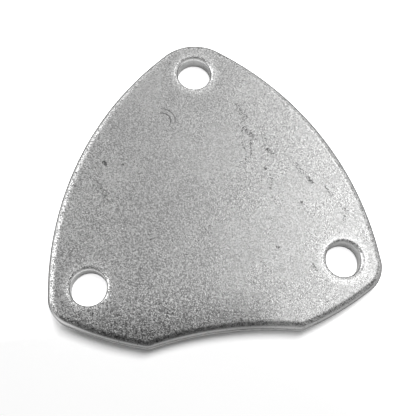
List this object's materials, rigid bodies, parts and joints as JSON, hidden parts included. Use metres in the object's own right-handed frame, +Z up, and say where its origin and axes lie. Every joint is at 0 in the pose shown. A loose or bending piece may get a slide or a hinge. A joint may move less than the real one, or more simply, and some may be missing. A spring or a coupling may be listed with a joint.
{
  "type": "block off plate",
  "caption": "Flat steel cover plate with bulging sides, a shallow bite in the lower side and bolt holes near the corners; it closes off a flanged pipe end.",
  "frame": {"origin": "middle of the bolt circle, on the plate's underside", "axes": "+Z up out of the plate's upper face, the one with the rolled edge; +Y from the origin towards the hole at the narrow end; +X to the right"},
  "size_m": [0.1042, 0.0999, 0.0063],
  "materials": {
    "plate": "satin, blasted and plated: a fine pebbled grain, silver-grey"
  },
  "bodies": {
    "root": {"plate": "plate"}
  },
  "joints": []
}
